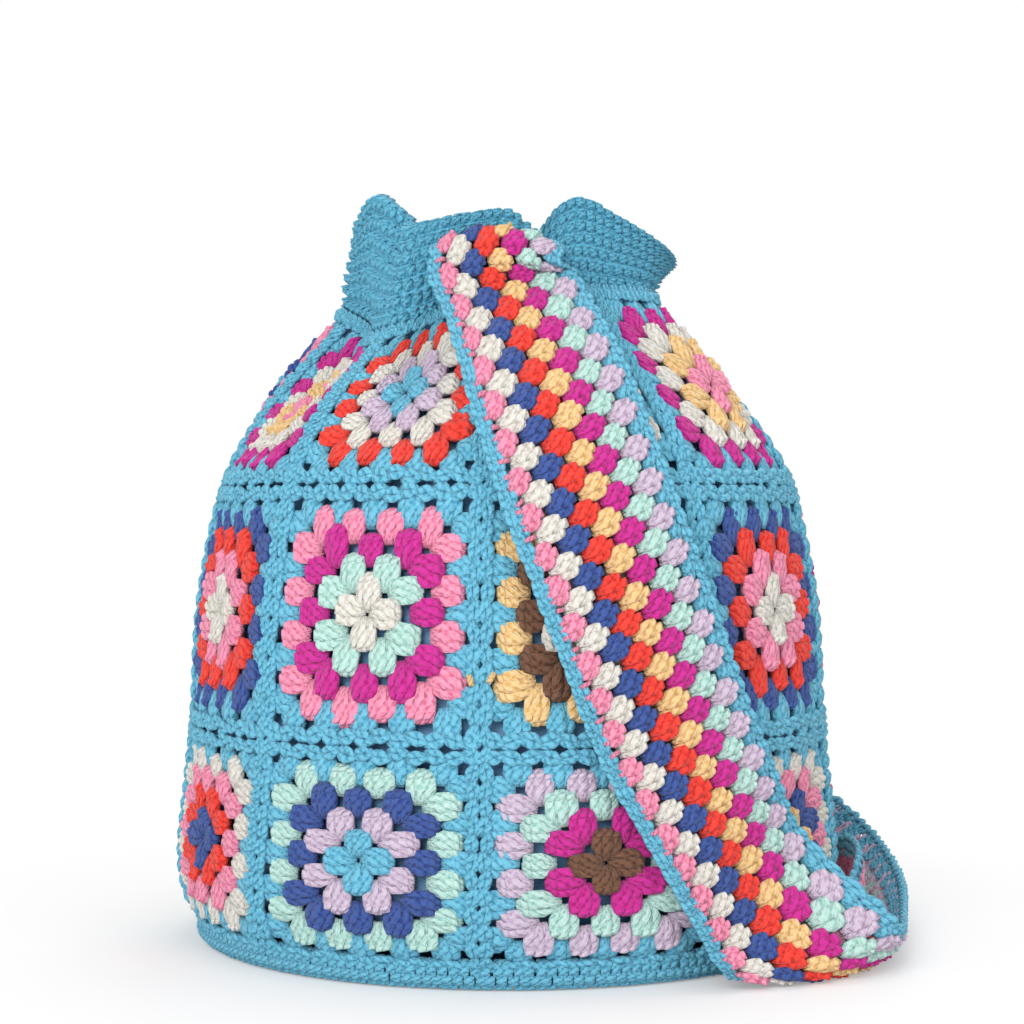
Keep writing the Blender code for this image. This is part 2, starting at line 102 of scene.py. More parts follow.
def plain_length(curve):
    return np.linalg.norm(np.diff(curve[:, :3], axis=0), axis=1)


def curve_through(points, steps, each=24, measure=plain_length):
    """Points along a smooth curve through the given ones, evenly spaced by its length."""
    knots = np.array(points, dtype=float)
    padded = np.vstack([2 * knots[0] - knots[1], knots, 2 * knots[-1] - knots[-2]])
    share = np.arange(each)[:, None] / each
    dense = [between(*padded[first : first + 4], share) for first in range(len(knots) - 1)]
    dense = np.vstack(dense + [knots[-1:]])
    along = np.concatenate([[0.0], np.cumsum(measure(dense))])
    wanted = np.linspace(0.0, along[-1], steps)
    return np.stack([np.interp(wanted, along, column) for column in dense.T], axis=1), along[-1]


# %% The wall from base edge to neck
edge = np.array([EDGE_RADIUS, EDGE_HEIGHT])
belly = np.array([BELLY_RADIUS, BELLY_HEIGHT])
waist = np.array([WAIST_RADIUS, SHOULDER_HEIGHT / 2])
above_waist = np.array([WAIST_RADIUS - WAIST_DRAW, 0.75 * SHOULDER_HEIGHT])
shoulder = np.array([SHOULDER_RADIUS, SHOULDER_HEIGHT])
neck = np.array([NECK_RADIUS, NECK_HEIGHT])
turns = [shoulder + (neck - shoulder) * share for share in SHOULDER_TURN]
low = (edge + belly) / 2 + LOW_BULGE
knots = [edge, low, belly, (belly + waist) / 2, waist, above_waist, shoulder, *turns, neck]
PROFILE, PROFILE_LENGTH = curve_through(knots, 241)
print(f"wall {PROFILE_LENGTH * 1000:.0f} mm long from base to neck")

# %% Folds of the gathered shoulder
FOLDS = 7
FOLD_FROM = 2.0
FOLD_DEPTH = 0.0115
FOLD_LEAN = math.radians(4.0)
NECK_SHARE = 0.45
PRESSED_SHARE = 0.85
PRESSED = (math.radians(8.0), math.radians(150.0))
DEEP_FOLD = 0.65
FOLD_WIDTH = math.radians(24.0)
NECK_SAG, SAG_ANGLE, SAG_WIDTH = 0.021, math.radians(-52.0), math.radians(34.0)
NECK_PINCH, PINCH_ANGLE, PINCH_WIDTH = 0.006, math.radians(85.0), math.radians(42.0)


def near(around, angle, width):
    """One at an angle round the bag, falling away to nothing beyond a width on either side."""
    turned = np.mod(around - angle + math.pi, 2 * math.pi) - math.pi
    return np.exp(-((turned / width) ** 2))


def fold_share(around, up):
    """How deep the folds are at a place, as a share of their depth."""
    pressed = sum(near(around, angle, FOLD_WIDTH) for angle in PRESSED)
    deepened = 1.0 + DEEP_FOLD * near(around, FIRST_SEAM, FOLD_WIDTH)
    gather = smooth((up - FOLD_FROM) / (ROWS - FOLD_FROM))
    eased = 1.0 - (1.0 - NECK_SHARE) * smooth(2.0 * (up - FOLD_FROM) / (ROWS - FOLD_FROM) - 1.0)
    return gather * eased * deepened * (1.0 - PRESSED_SHARE * pressed)


def wall_point(around, up):
    """A place on the wall: its angle round the cloth from the front, and rows up from the base."""
    share = np.interp(up, range(ROWS + 1), ROW_EDGES) * (len(PROFILE) - 1)
    radius = np.interp(share, range(len(PROFILE)), PROFILE[:, 0])
    height = np.interp(share, range(len(PROFILE)), PROFILE[:, 1])
    fold = fold_share(around, up) * np.cos(FOLDS * (around - FIRST_SEAM))
    gather = smooth((up - FOLD_FROM) / (ROWS - FOLD_FROM))
    radius = radius + FOLD_DEPTH * fold - NECK_PINCH * gather * near(around, PINCH_ANGLE, PINCH_WIDTH)
    height = height - NECK_SAG * gather * near(around, SAG_ANGLE, SAG_WIDTH)
    angle = around + FOLD_LEAN * fold
    return np.stack([radius * np.sin(angle), -radius * np.cos(angle), height], axis=-1)


# %% Out of the wall
def surface_normal(point, around, up, top, turn=PROBE_STEP):
    up = np.clip(up, 0.0, top)
    across = point(around + turn, up) - point(around - turn, up)
    higher = np.clip(up + PROBE_STEP, 0.0, top)
    lower = np.clip(up - PROBE_STEP, 0.0, top)
    return unit(np.cross(across, point(around, higher) - point(around, lower)))


def on_wall(around, up, out):
    return wall_point(around, up) + surface_normal(wall_point, around, up, ROWS) * out[..., None]


print("front of the belly:", wall_point(np.array(0.0), np.array(0.3)).round(4))

# %% [markdown]
# ## The collar as a surface
# The collar is sewn to the neck and ruffles out to its rim. The rim is given by stations, each an angle
# from the front and shares of the neck's radius and the collar's rise, and the cloth swells a little
# between seam and rim.

# %% The collar's surface
RIM = (
    (-98, 0.97, 0.69),
    (-85, 0.99, 0.75),
    (-70, 0.92, 1.00),
    (-58, 0.87, 0.90),
    (-50, 0.81, 0.74),
    (-42, 0.95, 0.60),
    (-30, 0.98, 0.66),
    (-15, 0.94, 0.72),
    (0, 0.91, 0.74),
    (12, 0.86, 0.55),
    (22, 0.85, 0.80),
    (32, 0.90, 0.89),
    (45, 0.98, 0.73),
    (62, 1.09, 0.53),
    (80, 1.11, 0.41),
    (96, 1.03, 0.37),
    (115, 0.92, 0.45),
    (135, 0.87, 0.60),
    (155, 0.87, 0.66),
    (178, 0.88, 0.62),
    (-160, 0.87, 0.74),
    (-135, 0.92, 0.86),
    (-112, 0.95, 0.76),
)
COLLAR_SEAM_GAP = 0.0012
COLLAR_BULGE = 0.006
COLLAR_LIFT = 0.6
COLLAR_RISE = 0.048
COLLAR_PROBE = math.radians(3.5)


def rim_station(angle):
    """Radius and height of the collar's rim at an angle, from the stations around it."""
    stations = np.array(sorted(RIM)) * (math.radians(1.0), NECK_RADIUS, COLLAR_RISE)
    stations[:, 2] += NECK_HEIGHT
    whole_turn = np.array([2 * math.pi, 0.0, 0.0])
    ringed = np.vstack([stations[-3:] - whole_turn, stations, stations[:3] + whole_turn])
    turned = np.mod(angle + math.pi, 2 * math.pi) - math.pi
    after = np.searchsorted(ringed[:, 0], turned, side="right")
    before, here, there, beyond = (ringed[after + shift] for shift in (-2, -1, 0, 1))
    share = ((turned - here[..., 0]) / (there[..., 0] - here[..., 0]))[..., None]
    rim = between(before, here, there, beyond, share)
    return rim[..., 1], rim[..., 2]


def collar_point(around, up):
    """A place on the collar: its angle round the cloth, and its share up from the neck seam."""
    top = np.full_like(around, float(ROWS))
    seam = wall_point(around, top)
    leaving = unit(seam - wall_point(around, top - PROBE_STEP))
    seam = seam + leaving * COLLAR_SEAM_GAP
    radius, height = rim_station(around)
    rim = np.stack([radius * np.sin(around), -radius * np.cos(around), height], axis=-1)
    outward = np.stack([np.sin(around), -np.cos(around), np.zeros_like(around)], axis=-1)
    share = np.asarray(up)[..., None]
    swell = np.sin(math.pi * share) * COLLAR_BULGE * (1.0 - share)
    return seam * (1 - share) + rim * share + leaving * swell * COLLAR_LIFT + outward * swell


def on_collar(around, up, out):
    outward = surface_normal(collar_point, around, up, 1.0, COLLAR_PROBE)
    return collar_point(around, up) + outward * out[..., None]


print("collar rim stations:", len(RIM))

# %% [markdown]
# ## The strap as a surface
# The strap is sewn to the outside of the collar, folds over itself, crosses the bag, rests on the floor at
# the right, goes round the side and climbs the back in the same way. Stations along it give its middle and
# both edges, and a smooth curve through them gives any place on it.

# %% The strap's route
STRAP_WIDTH = 0.074
STRAP_NECK_WIDTH = 0.057
STRAP_THICKNESS = 0.0040
STRAP_LEAN = math.radians(25.0)
STRAP_BACK_LEAN = math.radians(16.0)
STRAP_OUT = 0.0022 + 0.0013 + 0.0024 + STRAP_THICKNESS / 2
STRAP_TUCK = 0.0015
STRAP_WIDENING = 3
STRAP_FRONT_NECK = math.radians(-4.0)
STRAP_BACK_NECK = math.radians(150.0)
STRAP_OVER_COLLAR = (
    (1.100, 0.10, 0.00, 0.09, 0.0),
    (1.078, 0.28, 0.02, 0.09, 0.0),
    (1.060, 0.45, 0.08, 0.09, 0.0),
    (1.105, 0.52, 0.15, 0.10, 0.0),
    (1.165, 0.41, 0.13, 0.09, 4.0),
    (1.185, 0.22, 0.08, 0.06, 9.0),
)
STRAP_FRONT_LEG = (
    (0, 0.973),
    (5, 0.904),
    (9, 0.814),
    (14, 0.671),
    (20, 0.518),
    (26, 0.379),
    (33, 0.252),
    (40, 0.146),
)
STRAP_BACK_LEG = (
    (150, 0.973),
    (149, 0.904),
    (148, 0.814),
    (146, 0.671),
    (144, 0.518),
    (142, 0.392),
    (140, 0.279),
    (138, 0.186),
)
STRAP_LOOP = (
    ((0.825, -0.868, 0.060), (0.600, -0.945, 0.050), (1.075, -0.735, 0.160)),
    ((1.000, -0.650, 0.024), (0.808, -0.736, 0.091), (1.136, -0.547, 0.104)),
    ((1.094, -0.313, 0.026), (1.029, -0.352, 0.221), (1.186, -0.274, 0.111)),
    ((1.114, 0.000, 0.033), (1.088, 0.000, 0.274), (1.231, 0.000, 0.130)),
    ((1.107, 0.313, 0.046), (1.029, 0.352, 0.235), (1.250, 0.300, 0.163)),
    ((1.003, 0.632, 0.085), (0.814, 0.749, 0.130), (1.225, 0.573, 0.221)),
    ((0.850, 0.827, 0.176), (0.619, 0.945, 0.124), (1.110, 0.730, 0.319)),
)


def strap_station(angle, place, rising, lean, width, tuck):
    """The strap's centre and both edges where it crosses the wall or the collar."""
    around = np.array([math.cos(angle), math.sin(angle), 0.0])
    across = around * math.cos(lean) + rising * math.sin(lean)
    left = place - across * width / 2 + tuck
    right = place + across * width / 2 + tuck
    return np.concatenate([place, left, right])


def strap_leg(neck, leg, lean, side):
    """Stations from the end sewn to the collar, over its own fold and down the wall."""
    stations = []
    inward = np.array([-math.sin(neck), math.cos(neck), 0.0])
    upright = np.array([0.0, 0.0, 1.0])
    for reach, rise, drop, tuck, degrees in STRAP_OVER_COLLAR:
        level = NECK_HEIGHT + COLLAR_RISE * rise
        place = level * upright - NECK_RADIUS * reach * inward
        edges = STRAP_NECK_WIDTH * (tuck * inward - drop * upright)
        turned = side * math.radians(degrees)
        stations.append(strap_station(neck, place, upright, turned, side * STRAP_NECK_WIDTH, edges))
    for step, (degrees, rise) in enumerate(leg, 1):
        widened = min(step / STRAP_WIDENING, 1.0)
        width = STRAP_NECK_WIDTH + (STRAP_WIDTH - STRAP_NECK_WIDTH) * widened
        angle = math.radians(degrees)
        index = int(np.argmin(np.abs(PROFILE[:, 1] - rise * NECK_HEIGHT)))
        slope = unit(PROFILE[min(index + 1, len(PROFILE) - 1)] - PROFILE[index - 1])
        radius = PROFILE[index, 0] + STRAP_OUT * slope[1]
        level = PROFILE[index, 1] - STRAP_OUT * slope[0]
        place = np.array([radius * math.sin(angle), -radius * math.cos(angle), level])
        rising = np.array([slope[0] * math.sin(angle), -slope[0] * math.cos(angle), slope[1]])
        inward = np.array([-math.sin(angle), math.cos(angle), 0.0])
        stations.append(strap_station(angle, place, rising, lean, side * width, STRAP_TUCK * inward))
    return stations


# %% The strap's own length
# The strap's weight stretches it where it leans back on the shoulder, so its rows count less of that way.
STRETCH_SHARE = 0.35


def worked_length(curve):
    """Steps along the strap as rows of stitches count them."""
    middle = curve[:, :3]
    step = np.diff(middle, axis=0)
    radial = unit(middle[:-1] * (1.0, 1.0, 0.0))
    outward = (step * radial).sum(axis=1, keepdims=True)
    return np.linalg.norm(step - outward * radial * (1.0 - STRETCH_SHARE), axis=1)


front_leg = strap_leg(STRAP_FRONT_NECK, STRAP_FRONT_LEG, STRAP_LEAN, 1)
back_leg = strap_leg(STRAP_BACK_NECK, STRAP_BACK_LEG, -STRAP_BACK_LEAN, -1)
loop = [np.array(station).ravel() * BELLY_RADIUS for station in STRAP_LOOP]
STRAP_PATH, STRAP_LENGTH = curve_through(front_leg + loop + back_leg[::-1], 900, measure=worked_length)


# %% Out of the strap
def strap_point(along, across):
    """A place on the strap: metres along its middle, and across from -1 at the left to 1."""
    share = np.clip(along / STRAP_LENGTH, 0.0, 1.0) * (len(STRAP_PATH) - 1)
    row = np.arange(len(STRAP_PATH))
    station = np.stack([np.interp(share, row, column) for column in STRAP_PATH.T], axis=-1)
    middle, left, right = station[..., :3], station[..., 3:6], station[..., 6:]
    place = across[..., None]
    return left * place * (place - 1) / 2 + middle * (1 - place**2) + right * place * (place + 1) / 2


def on_strap(along, across, out):
    along = np.clip(along, 0.0, STRAP_LENGTH)
    ahead = strap_point(along + 2 * PROBE_STEP, across) - strap_point(along - 2 * PROBE_STEP, across)
    aside = strap_point(along, across + 10 * PROBE_STEP) - strap_point(along, across - 10 * PROBE_STEP)
    return strap_point(along, across) + unit(np.cross(aside, -ahead)) * out[..., None]


print(f"strap {STRAP_LENGTH:.2f} m long")

# %% [markdown]
# ## One stitch
# A treble of crochet is a thick post of two plies side by side, with a loop lying across its head. A
# knotted curve would be true to the yarn but far too heavy to repeat thousands of times, so the stitch is
# a six-sided post with a groove pressed into its top, and one short bent strand as the loop.

# %% Model the post of the stitch
STITCH_WIDTH = 0.0046
STITCH_LENGTH = 0.0155
STITCH_THICKNESS = 0.0044


def start_fresh():
    bpy.ops.object.select_all(action="DESELECT")


def extrude_to(start, places):
    """Extrudes the selected face through places, each with the swell of its outline."""
    here = np.array(start)
    for place, swell in places:
        step = np.array(place) - here
        bpy.ops.mesh.extrude_region_move(TRANSFORM_OT_translate={"value": tuple(step)})
        bpy.ops.transform.resize(value=swell, center_override=tuple(place))
        here = np.array(place)


start_fresh()
bpy.ops.mesh.primitive_circle_add(
    vertices=6, radius=0.5 * STITCH_WIDTH, fill_type="NGON", rotation=(math.radians(90), 0, 0)
)
stitch = bpy.context.object
stitch.name = "stitch"
bpy.ops.object.transform_apply(location=True, rotation=True, scale=True)
highest = max(stitch.data.vertices, key=lambda corner: corner.co.z)
highest.co.z -= 0.0007
bpy.ops.object.mode_set(mode="EDIT")
bpy.ops.mesh.select_all(action="SELECT")
foot = (0, 0, -0.0010)
bpy.ops.transform.translate(value=foot)
bpy.ops.transform.resize(value=(0.66, 1.0, 0.50), center_override=foot)
post = [
    ((0, 0.0026, 0.0000), (1.42, 1, 1.62)),
    ((0, 0.0066, 0.0007), (1.10, 1, 1.22)),
    ((0, 0.0108, 0.0009), (1.04, 1, 1.02)),
    ((0, 0.0145, 0.0005), (0.98, 1, 0.92)),
    ((0, 0.0155, -0.0003), (0.84, 1, 0.66)),
]
extrude_to(foot, post)
bpy.ops.object.mode_set(mode="OBJECT")
POST_FACES = len(stitch.data.polygons)
print("post faces:", POST_FACES)

# %% Add the loop across its head
bpy.ops.object.mode_set(mode="EDIT")
bpy.ops.mesh.select_all(action="DESELECT")
LOOP_START = (-0.0023, 0.0116, 0.0004)
bpy.ops.mesh.primitive_circle_add(
    vertices=5, radius=0.0012, fill_type="NGON", location=LOOP_START, rotation=(0, math.radians(90), 0)
)
loop_path = [
    ((-0.0013, 0.0124, 0.0019), (1, 1.1, 1.1)),
    ((0.0001, 0.0127, 0.0023), (1, 1.05, 1.0)),
    ((0.0014, 0.0132, 0.0018), (1, 0.95, 1.0)),
    ((0.0022, 0.0137, 0.0001), (1, 0.8, 0.8)),
]
extrude_to(LOOP_START, loop_path)
bpy.ops.mesh.select_all(action="SELECT")
bpy.ops.mesh.normals_make_consistent(inside=False)
bpy.ops.object.mode_set(mode="OBJECT")
print("stitch faces:", len(stitch.data.polygons))


# %% [markdown]
# ## Laying stitches in numbers
# A copy of the stitch is stretched to its own width, length and thickness, and then bent onto the cloth.
# Doing that for each object in turn would take minutes, so the points of all copies go into one array.
# Each corner also gets a place on the strand, round it and along it, for the twist of the yarn to follow.


# %% Read the stitch as numbers
class Shape:
    """The points, faces and strand places of a small mesh, ready to be copied many times."""

    def __init__(self, thing, size, faces=None):
        mesh = thing.data
        points = np.empty(len(mesh.vertices) * 3)
        mesh.vertices.foreach_get("co", points)
        polygons = list(mesh.polygons)[:faces]
        used = sorted({corner for face in polygons for corner in face.vertices})
        renumber = {old: new for new, old in enumerate(used)}
        self.points = points.reshape(-1, 3)[used] / np.array(size)
        self.faces = [tuple(renumber[corner] for corner in face.vertices) for face in polygons]
        self.strand = np.vstack([self.corners(face) for face in self.faces])

    def corners(self, face):
        place = self.points[list(face)]
        middle = self.points.mean(axis=0)
        turn = np.arctan2(place[:, 2] - middle[2], place[:, 0] - middle[0]) / (2 * math.pi)
        turn = turn[0] + np.mod(turn - turn[0] + 0.5, 1.0) - 0.5
        return np.stack([turn, place[:, 1]], axis=1)


WHOLE = Shape(stitch, (STITCH_WIDTH, STITCH_LENGTH, STITCH_THICKNESS))
POST = Shape(stitch, (STITCH_WIDTH, STITCH_LENGTH, STITCH_THICKNESS), POST_FACES)
print("corners:", len(WHOLE.strand), len(POST.strand))


# %% Lay and join copies
FAN_SHARE = 0.50
HEAD_CLOSES = 0.16
LANE_STEP = 0.84
POST_SWELL = 1.24
OUTER_SHORTER = 0.03
OUTER_LOWER = 0.14


def lay(shape, foot, head, foot_width, head_width, thickness, lift, lane, lanes=3, shorter=OUTER_SHORTER):
    """Flat places of copies from foot to head, side by side in lanes of a fan that closes at its head."""
    columns = [foot_width, head_width, thickness, lift, lane]
    count = len(foot)
    foot_width, head_width, thickness, lift, lane = (
        np.broadcast_to(np.asarray(value, dtype=float), (count,))[:, None] for value in columns
    )
    a, b, c = shape.points.T
    direction = head - foot
    length = np.linalg.norm(direction, axis=1)[:, None]
    ahead = direction / length
    aside = np.stack([ahead[:, 1], -ahead[:, 0]], axis=1)
    width = foot_width + (head_width - foot_width) * smooth(b / FAN_SHARE)
    width = width * (1.0 - HEAD_CLOSES * smooth((b - FAN_SHARE) / (1.0 - FAN_SHARE)))
    outer = np.abs(lane)
    x = (lane * LANE_STEP + a * POST_SWELL) * width / lanes
    y = b * length * (1.0 - shorter * outer)
    z = c * thickness + lift - OUTER_LOWER * outer * thickness
    flat = foot[:, None, :] + aside[:, None, :] * x[..., None] + ahead[:, None, :] * y[..., None]
    return np.concatenate([flat, z[..., None]], axis=2)


def join(name, batches, materials):
    """One piece of several batches: each is a shape, its placed copies and a material for each copy."""
    points, faces, strand, finish = [], [], [], []
    start = 0
    for shape, placed, kinds in batches:
        per_copy = len(shape.points)
        points.append(placed.reshape(-1, 3))
        strand.append(np.tile(shape.strand, (len(placed), 1)))
        for copy in range(len(placed)):
            faces.extend([tuple(start + corner for corner in face) for face in shape.faces])
            start += per_copy
        finish.append(np.repeat(np.broadcast_to(kinds, (len(placed),)), len(shape.faces)))
    mesh = bpy.data.meshes.new(name)
    mesh.from_pydata(np.vstack(points).tolist(), [], faces)
    layer = mesh.uv_layers.new(name="strand")
    layer.data.foreach_set("uv", np.vstack(strand).ravel())
    for material in materials:
        mesh.materials.append(material)
    mesh.polygons.foreach_set("material_index", np.concatenate(finish).astype(np.int32))
    mesh.shade_smooth()
    piece = bpy.data.objects.new(name, mesh)
    bpy.context.collection.objects.link(piece)
    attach(piece, "root")
    mesh.calc_loop_triangles()
    print(name, len(mesh.loop_triangles), "triangles")
    return piece


# %% [markdown]
# ## Yarn
# Cotton yarn is several plies twisted together. A flat colour would look like plastic, so the twist is
# drawn from the strand places: a wave that runs round and along the stitch at once makes the plies, a finer
# one the fibres, and both feed a bump. The grooves are painted a darker colour as painted shade, and the crests keep
# the yarn's own paler colour.


# %% Shader sums as Python sums
class Signal:
    """A socket that can be added, multiplied and compared as a number."""

    def __init__(self, graph, socket):
        self.graph = graph
        self.socket = socket

    def sum(self, operation, *others, clamp=False):
        return self.graph.node("ShaderNodeMath", {"operation": operation, "use_clamp": clamp}, [self, *others])

    def __add__(self, other):
        return self.sum("ADD", other)

    def __sub__(self, other):
        return self.sum("SUBTRACT", other)

    def __rsub__(self, other):
        return self.graph.node("ShaderNodeMath", {"operation": "SUBTRACT"}, [other, self])

    def __mul__(self, other):
        return self.sum("MULTIPLY", other)

    __radd__ = __add__
    __rmul__ = __mul__

    def sine(self):
        return self.sum("SINE")

    def power(self, other):
        return self.sum("POWER", other)

    def clamped(self):
        return self.sum("ADD", 0.0, clamp=True)


class Graph:
    """A material's nodes, each made by one method."""

    def __init__(self, name):
        self.material = bpy.data.materials.new(name)
        self.material.use_nodes = True
        self.tree = self.material.node_tree
        self.shader = self.tree.nodes["Principled BSDF"]

    def node(self, kind, settings, inputs, output=0):
        made = self.tree.nodes.new(kind)
        for key, value in settings.items():
            setattr(made, key, value)
        pairs = inputs.items() if isinstance(inputs, dict) else enumerate(inputs)
        for key, value in pairs:
            self.feed(made.inputs[key], value)
        return Signal(self, made.outputs[output])

    def feed(self, socket, value):
        if isinstance(value, Signal):
            self.tree.links.new(value.socket, socket)
        else:
            socket.default_value = value

    def mix(self, share, first, second, kind="MIX"):
        """A colour between two others."""
        made = self.tree.nodes.new("ShaderNodeMix")
        made.data_type = "RGBA"
        made.blend_type = kind
        for socket, value in zip((made.inputs[0], made.inputs[6], made.inputs[7]), (share, first, second)):
            self.feed(socket, value)
        return Signal(self, made.outputs[2])

    def noise(self, place, scale, detail=2.0):
        return self.node("ShaderNodeTexNoise", {}, {"Vector": place, "Scale": scale, "Detail": detail})

    def bump(self, height, strength, distance):
        sockets = {"Height": height, "Strength": strength, "Distance": distance}
        return self.node("ShaderNodeBump", {}, sockets)


# %% A yarn of any colour
def rgba(colour, factor=1.0):
    return (*[min(1.0, value * factor) for value in colour], 1.0)


def yarn(name, colour, groove_shade):
    """Twisted cotton: its own colour on the crests, and a darker colour painted in the grooves between plies as shade.
    """
    graph = Graph(name)
    strand = graph.node("ShaderNodeUVMap", {"uv_map": "strand"}, {})
    round_it = graph.node("ShaderNodeSeparateXYZ", {}, [strand], 0)
    along = graph.node("ShaderNodeSeparateXYZ", {}, [strand], 1)
    place = graph.node("ShaderNodeTexCoord", {}, {}, "Object")
    mottle = graph.noise(place, 210.0)
    fibre = graph.noise(place, 2600.0, 3.0)
    turn = round_it * (2 * math.pi * 3) + along * 16.0 + mottle * 7.0
    ply = turn.sine() * 0.5 + 0.5
    cross = (round_it * (2 * math.pi * 3) - along * 24.0 + mottle * 8.0).sine() * 0.5 + 0.5
    strands = (round_it * (2 * math.pi * 11) + along * 46.0 + mottle * 10.0).sine() * 0.5 + 0.5
    pits = (ply + cross).clamped()
    relief = ply.power(0.6) * 0.5 + pits * 0.5 + strands * 0.24 + fibre * 0.36
    groove = (relief * 1.0 - 0.22).clamped()
    # Painted shade: the grooves between plies take the darker groove colour, and the crests take the yarn's own
    # colour.
    shade = graph.mix(groove, rgba(groove_shade), rgba(colour))
    pale = (mottle * 1.6 - 0.55).clamped() * 0.2
    shade = graph.mix(pale, shade, rgba(colour, 1.3))
    graph.feed(graph.shader.inputs["Base Color"], shade)
    graph.feed(graph.shader.inputs["Normal"], graph.bump(relief, 0.9, 0.0009))
    graph.shader.inputs["Roughness"].default_value = 0.88
    graph.shader.inputs["Sheen Weight"].default_value = 0.12
    graph.shader.inputs["Specular IOR Level"].default_value = 0.25
    graph.material.diffuse_color = rgba(colour)
    return graph.material


# Each yarn has its own colour, then a darker colour that is painted as shade in its ply grooves.
COLOURS = {
    "turquoise": ((0.160, 0.505, 0.68), (0.042, 0.26, 0.40)),
    # Painted shade: a darker copy of the turquoise yarn for the collar, where the tight posts shade each other.
    "collar_shaded_turquoise": ((0.125, 0.455, 0.63), (0.028, 0.20, 0.32)),
    "white": ((0.73, 0.71, 0.655), (0.55, 0.50, 0.42)),
    "pink": ((0.88, 0.31, 0.455), (0.64, 0.12, 0.23)),
    "magenta": ((0.60, 0.028, 0.30), (0.34, 0.006, 0.13)),
    "red": ((0.88, 0.060, 0.04), (0.58, 0.012, 0.008)),
    "navy": ((0.050, 0.102, 0.335), (0.014, 0.028, 0.15)),
    "mint": ((0.49, 0.71, 0.65), (0.24, 0.50, 0.43)),
    "lilac": ((0.62, 0.51, 0.63), (0.42, 0.29, 0.44)),
    "yellow": ((0.84, 0.575, 0.285), (0.66, 0.36, 0.09)),
    "brown": ((0.19, 0.090, 0.052), (0.07, 0.028, 0.014)),
}
YARNS = {name: yarn(name + "_yarn", *pair) for name, pair in COLOURS.items()}
print("yarns:", ", ".join(YARNS))

# %% [markdown]
# ## A flat granny square
# A granny square grows from its middle in rounds. Each round is groups of three trebles worked into the
# spaces of the round before, so a group's foot is narrow and its head wide, and each side gains one group
# in every round. The square is laid out flat once, and every copy is bent onto the wall.

# %% Lay out the groups of five rounds
ROUNDS = 5
HALF_SQUARE = 0.0523
ROUND_REACH = (0.0160, 0.0255, 0.0349, 0.0443, 0.0498)
GROUP_PITCH = 0.0178
GROUP_LENGTH = 0.0154
GROUP_FOOT = 0.0082
GROUP_HEAD = 0.0138
WIDER = np.array([1.04, 0.985])


def square_groups():
    """Foot, head and round of each group of three trebles in a flat square."""
    groups = []
    for worked, reach in enumerate(ROUND_REACH, 1):
        inner = ROUND_REACH[worked - 2]
        hole = 0.5 * (inner + GROUP_PITCH * (worked - 2) / 2)
        for side in range(4):
            turn = side * math.pi / 2
            spin = np.array([[math.cos(turn), math.sin(turn)], [-math.sin(turn), math.cos(turn)]])
            for place in range(worked):
                x = (place - (worked - 1) / 2) * GROUP_PITCH
                head = np.array([x, reach])
                foot = np.array([x, max(reach - GROUP_LENGTH, 0.0009)])
                if worked > 1 and place in (0, worked - 1):
                    foot = np.array([math.copysign(hole, x), hole + 0.0006])
                groups.append((foot @ spin * WIDER, head @ spin * WIDER, worked))
    return groups


GROUPS = square_groups()
print("groups in a square:", len(GROUPS), "so", 3 * len(GROUPS), "trebles")

# %% [markdown]
# ## Squares on the wall
# Each square has its own colours, four rounds of them inside a turquoise one. Handwork is never even, so
# every group is shifted, turned and swollen by a small chance amount before it is bent onto the wall.

# %% Colours of the squares
SCHEMES = {
    "low": (
        ("turquoise", "lilac", "navy", "mint"),
        ("brown", "magenta", "mint", "lilac"),
        ("yellow", "navy", "pink", "white"),
        ("white", "mint", "red", "pink"),
        ("pink", "white", "brown", "navy"),
        ("lilac", "magenta", "white", "yellow"),
        ("white", "yellow", "red", "magenta"),
        ("navy", "pink", "white", "mint"),
        ("navy", "red", "pink", "white"),
    ),
    "middle": (
        ("white", "mint", "magenta", "pink"),
        ("pink", "white", "brown", "yellow"),
        ("white", "pink", "red", "navy"),
        ("yellow", "white", "magenta", "pink"),
        ("mint", "navy", "white", "lilac"),
        ("red", "yellow", "magenta", "white"),
        ("white", "brown", "pink", "mint"),
        ("lilac", "white", "navy", "yellow"),
        ("white", "pink", "red", "navy"),
    ),
    "top": (
        ("turquoise", "lilac", "white", "red"),
        ("yellow", "red", "pink", "white"),
        ("pink", "yellow", "white", "magenta"),
        ("turquoise", "lilac", "white", "red"),
        ("white", "magenta", "mint", "pink"),
        ("red", "pink", "white", "yellow"),
        ("mint", "lilac", "white", "navy"),
        ("white", "turquoise", "navy", "pink"),
        ("pink", "yellow", "white", "magenta"),
    ),
}
print("squares:", sum(len(row) for row in SCHEMES.values()))


# %% Bend the squares onto the wall
def square_on_wall(flat, row, place):
    pitch = 2 * math.pi / SQUARES_AROUND
    around = FIRST_SEAM + pitch * (place + 0.5 + 0.5 * flat[..., 0] / HALF_SQUARE)
    up = row + 0.5 + 0.5 * flat[..., 1] / HALF_SQUARE
    return on_wall(around, up, flat[..., 2])


